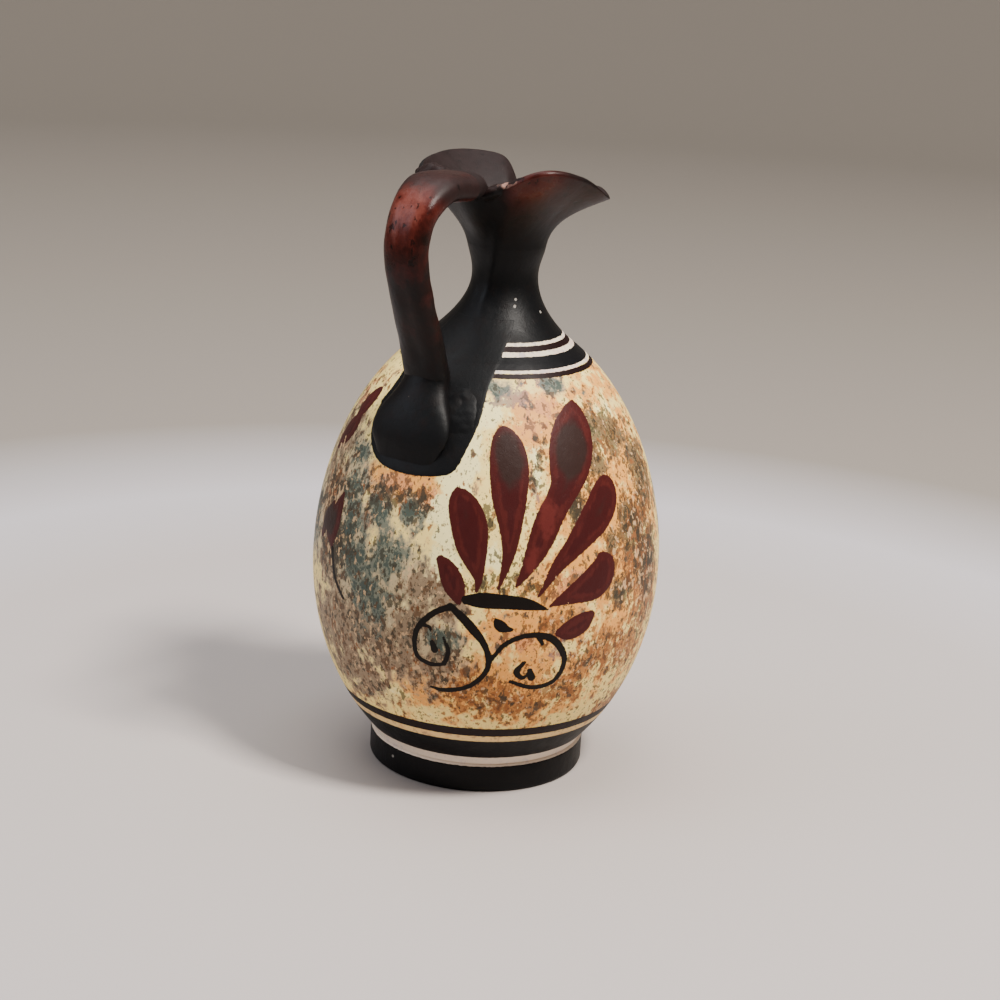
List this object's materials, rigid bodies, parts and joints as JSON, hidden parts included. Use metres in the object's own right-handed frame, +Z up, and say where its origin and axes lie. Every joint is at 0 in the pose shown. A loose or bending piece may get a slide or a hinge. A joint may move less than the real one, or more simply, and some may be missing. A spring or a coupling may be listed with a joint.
{
  "type": "small wine jug",
  "caption": "Small fired-clay wine jug with an egg-shaped belly, narrow neck, pinched pouring mouth and one high strap handle; made to hold and pour a liquid.",
  "frame": {"origin": "middle of the underside of the foot, on the surface that the jug stands on", "axes": "+Z up along the axis of the belly, +X towards the pouring spout, -X towards the handle"},
  "size_m": [0.0678, 0.0678, 0.1192],
  "materials": {
    "black_slip": "black slip on fired clay, half matt, brushed",
    "red_gloss": "thin red-brown slip on fired clay, glossy",
    "painted_clay": "pale fired clay, painted with bands and a palmette, lightly varnished"
  },
  "bodies": {
    "root": {"foot_disc": "black_slip", "belly_shell": "painted_clay", "neck_tube": "black_slip", "mouth_funnel": "red_gloss", "strap_handle": "red_gloss", "handle_tongue": "red_gloss", "root_pad": "black_slip", "root_slip_right": "black_slip", "root_slip_left": "black_slip"}
  },
  "joints": []
}
